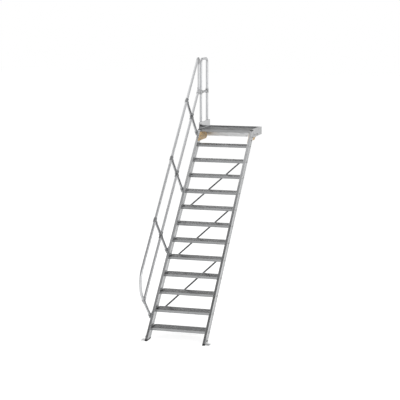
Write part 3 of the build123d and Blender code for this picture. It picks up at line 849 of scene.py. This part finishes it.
def make_rear_beam_caps(material):
    """Plates that close the rear beam's open ends, with a shallow panel pressed into each face."""
    clear_selection()
    bpy.ops.mesh.primitive_cube_add(size=1, location=(0, 0, 0))
    cap = bpy.context.active_object
    depth = REAR_BEAM_DEPTH - FRAME_WALL
    height = FRAME_TOP - FRAME_BOTTOM - 2 * FRAME_WALL
    cap.scale = (BEAM_CAP_THICKNESS, depth, height)
    bpy.ops.object.transform_apply(location=True, rotation=True, scale=True)
    open_for_edit(cap)
    select_faces(lambda normal: abs(normal.x) > FACING_LIMIT)
    bpy.ops.mesh.inset(thickness=BEAM_CAP_RIM, depth=-BEAM_CAP_RECESS)
    rim = (BEAM_CAP_THICKNESS - BEAM_CAP_RECESS) / 2
    select_edges(lambda point: abs(point.x) > rim)
    bpy.ops.mesh.bevel(offset=BEAM_CAP_EASE, segments=EASE_SEGMENTS)
    close_edit()
    x = OUTER_X - BEAM_CAP_SINK - BEAM_CAP_THICKNESS / 2
    y = -(REAR_BEAM_DEPTH + FRAME_WALL) / 2
    z = (FRAME_TOP + FRAME_BOTTOM) / 2
    places = [Matrix.Translation((side * x, y, z)) for side in (-1, 1)]
    dress(lay_copies(cap, "rear_beam_end_caps", places), material)


def make_tread_bolts(material):
    """Two bolts through each stringer into each tread."""
    places = []
    for number in TREAD_NUMBERS:
        y, z = nosing(number)
        for side, outward in SIDES:
            for reach in TREAD_BOLTS:
                place = Vector((side * OUTER_X, y + reach, z - TREAD_HEIGHT / 2))
                places.append(facing(place, outward))
    dress(lay_copies(model_bolt(**TREAD_BOLT), "tread_bolts", places), material)


def make_plate_bolts(material):
    """Bolts through the splice plates, floor brackets, post brackets and braces."""
    places = []
    for side, outward in SIDES:
        for y, z in SPLICE_BOLTS:
            places.append(facing(Vector((side * PLATE_X, y, z)), -outward))
            places.append(facing(Vector((side * OUTER_X, y, z)), outward))
        for along in BRACKET_BOLTS:
            y = BRACKET_FRONT + BRACKET_BOLT_HEIGHT + along
            z = GROUND + BRACKET_BOLT_HEIGHT
            places.append(facing(Vector((side * (OUTER_X + BRACKET_PLATE), y, z)), outward))
    for station in POST_STATIONS:
        for along in (-POST_BOLT_REACH, POST_BOLT_REACH):
            place = on_slope(-OUTER_X - BRACKET_PLATE, station + along, POST_PLATE_MIDDLE)
            places.append(facing(place, LEFT))
    for first in BRACE_FIRST_TREADS:
        for number, x in ((first, BRACE_LOW_X), (first + BRACE_TREADS, BRACE_HIGH_X)):
            y, z = nosing(number)
            corner = Vector((0, y + TREAD_DEPTH - PLATFORM_FRONT, z - TREAD_HEIGHT - PLATFORM_TOP))
            station = corner.dot(UP_SLOPE) - BRACE_STATION_DROP
            places.append(facing(on_slope(x, station, BRACE_BACK_OUT), -OFF_SLOPE))
    dress(lay_copies(model_bolt(**PLATE_BOLT), "plate_bolts", places), material)


def rail_fittings():
    """The handrail's fittings: sleeves as middle, axis and half length, then sockets as mouth and axis."""
    sleeves = []
    sockets = []
    for index, station in enumerate(POST_STATIONS):
        knee = on_slope(RAIL_X, station, KNEE_RAIL_OUT)
        sleeves.append((knee, OFF_SLOPE, SLEEVE_LENGTH / 2))
        sockets.append((knee + UP_SLOPE * SOCKET_LENGTH, UP_SLOPE))
        sleeves.append((on_slope(RAIL_X, station, POST_PLATE_MIDDLE), OFF_SLOPE, POST_SLEEVE_HALF))
        # The first station is the top rail's own lower leg, with no tee and no knee rail below it
        if index > 0:
            top = on_slope(RAIL_X, station, TOP_RAIL_OUT)
            sleeves.append((top, UP_SLOPE, SLEEVE_LENGTH / 2))
            sockets.append((top - OFF_SLOPE * SOCKET_LENGTH, -OFF_SLOPE))
            sockets.append((knee - UP_SLOPE * SOCKET_LENGTH, -UP_SLOPE))
    return sleeves, sockets


def hoop_fittings():
    """The hoop's fittings, in the same form."""
    sleeves = []
    sockets = []
    for y, reach in ((HOOP_FRONT, SOCKET_LENGTH), (HOOP_REAR, -SOCKET_LENGTH)):
        sleeves.append((Vector((RAIL_X, y, HOOP_MID)), UP, SLEEVE_LENGTH / 2))
        sleeves.append((Vector((RAIL_X, y, 0)), UP, FRAME_TOP))
        sockets.append((Vector((RAIL_X, y + reach, HOOP_MID)), BACK * math.copysign(1, reach)))
    return sleeves, sockets


def make_collars(group, fittings, material):
    """A raised ring at every mouth of a group of tube fittings."""
    sleeves, sockets = fittings
    places = []
    for middle, axis, half in sleeves:
        for end in (-1, 1):
            places.append(facing(middle + axis * end * (half - COLLAR_LENGTH / 2), axis))
    model = model_collar(SLEEVE_RADIUS - COLLAR_SINK, SLEEVE_RADIUS + COLLAR_PROUD, COLLAR_LENGTH)
    dress(lay_copies(model, f"{group}_sleeve_collars", places), material)
    places = [facing(mouth - axis * COLLAR_LENGTH / 2, axis) for mouth, axis in sockets]
    model = model_collar(SOCKET_RADIUS - COLLAR_SINK, SOCKET_RADIUS + COLLAR_PROUD, COLLAR_LENGTH)
    dress(lay_copies(model, f"{group}_socket_collars", places), material)


def make_fitting_screws(group, fittings, material):
    """Set screws on the outer side of every sleeve and socket of a group."""
    sleeves, sockets = fittings
    sink = SCREW_HEIGHT * SCREW_SINK
    places = []
    for sleeve in sleeves:
        middle = sleeve[0]
        places.append(facing(middle + LEFT * (SLEEVE_RADIUS - sink), LEFT))
    for mouth, axis in sockets:
        middle = mouth - axis * SCREW_SETBACK
        places.append(facing(middle + LEFT * (SOCKET_RADIUS - sink), LEFT))
    model = model_screw(SCREW_RADIUS, SCREW_HEIGHT)
    dress(lay_copies(model, f"{group}_fitting_screws", places), material)


def make_tube_plugs(material):
    """Plugs in the open ends of the posts, the hoop and the rail's return."""
    places = [facing(on_slope(RAIL_X, station, POST_LOW), -OFF_SLOPE) for station in POST_STATIONS]
    for y in (HOOP_FRONT, HOOP_REAR):
        places.append(facing(Vector((RAIL_X, y, FRAME_BOTTOM)), DOWN))
    places.append(facing(Vector((RAIL_X, RETURN_Y, KNEE_END_HEIGHT - SLEEVE_LENGTH / 2)), DOWN))
    dress(lay_copies(model_plug(TUBE_RADIUS, PLUG_HEIGHT), "tube_plugs", places), material)


def make_deck_screws(material):
    """Flat screws at the ends of the deck planks."""
    places = []
    z = PLATFORM_TOP - DECK_SCREW_HEIGHT * DECK_SCREW_SINK
    for plank in DECK_PLANKS:
        low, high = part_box(f"{plank}_deck_plank")
        for y in (low[1] + DECK_SCREW_SETBACK, high[1] - DECK_SCREW_SETBACK):
            for side in (-1, 1):
                places.append(facing(Vector((side * DECK_SCREW_X, y, z)), UP))
    model = model_screw(DECK_SCREW_RADIUS, DECK_SCREW_HEIGHT)
    dress(lay_copies(model, "deck_screws", places), material)


def make_toe_board(material):
    """A toe board with a rounded top and a shallow panel pressed into each side."""
    low, high = (Vector(corner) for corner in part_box("toe_board"))
    clear_selection()
    bpy.ops.mesh.primitive_cube_add(size=1, location=(low + high) / 2)
    board = bpy.context.active_object
    board.name = "toe_board_panel"
    board.scale = high - low
    bpy.ops.object.transform_apply(location=True, rotation=True, scale=True)
    open_for_edit(board)
    select_faces(lambda normal: abs(normal.x) > FACING_LIMIT)
    bpy.ops.mesh.inset(thickness=TOE_BOARD_RIM, depth=-TOE_BOARD_RECESS)
    top = high.z - TOE_BOARD_TOP_BAND
    select_edges(lambda point: point.z > top)
    bpy.ops.mesh.bevel(offset=TOE_BOARD_ROUND, segments=TOE_BOARD_SEGMENTS)
    close_edit()
    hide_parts("toe_board")
    dress(board, material)


def copy_node(node, name):
    """A copy of a CAD node's mesh, merged, with the lines across its flat faces taken out."""
    clear_selection()
    piece = nodes[node].copy()
    piece.data = nodes[node].data.copy()
    bpy.context.scene.collection.objects.link(piece)
    piece.name = name
    piece.data.name = name
    open_for_edit(piece)
    bpy.ops.mesh.customdata_custom_splitnormals_clear()
    bpy.ops.mesh.select_all(action="SELECT")
    bpy.ops.mesh.remove_doubles(threshold=MERGE_DISTANCE)
    bpy.ops.mesh.dissolve_limited(angle_limit=FLAT_ANGLE)
    close_edit()
    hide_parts(node)
    return piece


def make_eased_copy(node, name, ease, material):
    """A copy of a moulded piece with all its sharp edges eased, in place of the plain one."""
    piece = copy_node(node, name)
    bevel = piece.modifiers.new("eased_edges", "BEVEL")
    bevel.width = ease
    bevel.segments = EASE_SEGMENTS
    bevel.limit_method = "ANGLE"
    bevel.angle_limit = SMOOTH_ANGLE
    bpy.ops.object.modifier_apply(modifier=bevel.name)
    dress(piece, material)


def make_crisp_copy(node, name, material, axes):
    """A copy of an extrusion that shades flat up to its rounded corners, with those corners marked for
    rubbing and a painted highlight.
    """
    piece = copy_node(node, name)
    dress(piece, material)
    flats = piece.modifiers.new("flat_faces", "WEIGHTED_NORMAL")
    flats.keep_sharp = True
    flats.weight = FLAT_WEIGHT
    bpy.ops.object.modifier_apply(modifier=flats.name)
    marks = piece.data.attributes.new(EDGE_MARK, "FLOAT", "FACE")
    for face, mark in zip(piece.data.polygons, marks.data):
        flat = any(abs(face.normal.dot(axis)) > FLAT_LIMIT for axis in axes)
        mark.value = 0.0 if flat else 1.0


set_camera()
set_world()
set_floor()
bpy.context.scene.view_settings.view_transform = "Standard"
add_lamp("right_softbox", **RIGHT_SOFTBOX)
add_lamp("head_softbox", **HEAD_SOFTBOX)
add_lamp("rail_softbox", **RAIL_SOFTBOX)
add_lamp("foot_softbox", **FOOT_SOFTBOX)

stringer_metal = aluminium("stringer_extrusion", **STRINGER_FINISH)
tread_metal = aluminium("tread_extrusion", **TREAD_FINISH)
deck_metal = aluminium("deck_extrusion", **DECK_FINISH)
# Dark end plates: painted shade at the tread ends
end_plate_shade_metal = aluminium("tread_end_shade_plate", **END_PLATE_SHADE_FINISH)
beam_metal = aluminium("side_beam_extrusion", **SIDE_BEAM_FINISH)
rear_metal = aluminium("rear_beam_extrusion", **REAR_BEAM_FINISH)
cross_lit_metal = aluminium("cross_beam_lit_extrusion", **CROSS_BEAM_LIT_FINISH)
toe_metal = aluminium("toe_board_extrusion", **TOE_BOARD_FINISH)
bracket_metal = aluminium("floor_bracket_plate", **FLOOR_BRACKET_FINISH)
brace_metal = aluminium("brace_flat", **BRACE_FINISH)
rail_metal = aluminium("rail_tube", **RAIL_FINISH)
post_shaded_metal = aluminium("post_tube_shaded", **POST_SHADED_FINISH)
hoop_metal = aluminium("hoop_tube", **HOOP_FINISH)
hoop_rail_metal = aluminium("hoop_rail_tube", **HOOP_RAIL_FINISH)
fitting_metal = cast_metal("cast_fitting", **RAIL_FITTING_FINISH)
knee_end_metal = cast_metal("pale_cast_fitting", **KNEE_END_FINISH)
clamp_metal = cast_metal("hoop_fitting", **HOOP_FITTING_FINISH)
bolt_metal = zinc("zinc_bolt", **BOLT_FINISH)
splice_metal = passivated_steel("amber_plate", **AMBER_FINISH)
black_plastic = moulded_plastic("black_plastic", **PLASTIC_FINISH)

finishes = (
    (stringer_metal, ("left_stringer", "right_stringer")),
    (tread_metal, [f"tread_{number:02d}" for number in TREAD_NUMBERS]),
    (deck_metal, [f"{plank}_deck_plank" for plank in DECK_PLANKS]),
    (beam_metal, ("left_side_beam", "right_side_beam")),
    (rear_metal, ("rear_beam",)),
    (cross_lit_metal, ("cross_beam",)),
    (toe_metal, ("toe_board",)),
    (bracket_metal, ("left_floor_bracket", "right_floor_bracket")),
    (brace_metal, ("lower_brace", "middle_brace", "upper_brace", "brace_clips")),
    (rail_metal, ("top_rail", "knee_rail")),
    (post_shaded_metal, ("lower_post", "middle_post", "upper_post")),
    (hoop_metal, ("platform_hoop",)),
    (hoop_rail_metal, ("hoop_mid_rail",)),
    (fitting_metal, ("rail_tees", "knee_crosses", "post_brackets")),
    (knee_end_metal, ("knee_rail_ends",)),
    (clamp_metal, ("hoop_clamps", "hoop_brackets")),
    (splice_metal, ("left_splice_plate", "right_splice_plate")),
    (black_plastic, ("stringer_feet", "stringer_caps")),
)
for material, names in finishes:
    for name in names:
        nodes[name].data.materials.clear()
        nodes[name].data.materials.append(material)

stringer_axes = (RIGHT, UP_SLOPE, OFF_SLOPE, UP, BACK)
plank_axes = (RIGHT, BACK, UP)
for side in ("left", "right"):
    stringer = f"{side}_stringer"
    make_crisp_copy(stringer, f"{stringer}_bar", stringer_metal, stringer_axes)
for number in TREAD_NUMBERS:
    tread = f"tread_{number:02d}"
    make_crisp_copy(tread, f"step_plank_{number:02d}", tread_metal, plank_axes)
for plank in DECK_PLANKS:
    deck_plank = f"{plank}_deck_plank"
    make_crisp_copy(deck_plank, f"{plank}_platform_plank", deck_metal, plank_axes)
make_tread_end_plates(end_plate_shade_metal)
make_rear_beam_caps(rear_metal)
make_tread_bolts(bolt_metal)
make_plate_bolts(bolt_metal)
make_collars("rail", rail_fittings(), fitting_metal)
make_collars("hoop", hoop_fittings(), clamp_metal)
make_fitting_screws("rail", rail_fittings(), bolt_metal)
make_fitting_screws("hoop", hoop_fittings(), bolt_metal)
make_tube_plugs(black_plastic)
make_deck_screws(bolt_metal)
make_toe_board(toe_metal)
make_eased_copy("stringer_feet", "stringer_foot_blocks", FOOT_EASE, black_plastic)
make_eased_copy("stringer_caps", "stringer_end_caps", CAP_EASE, black_plastic)
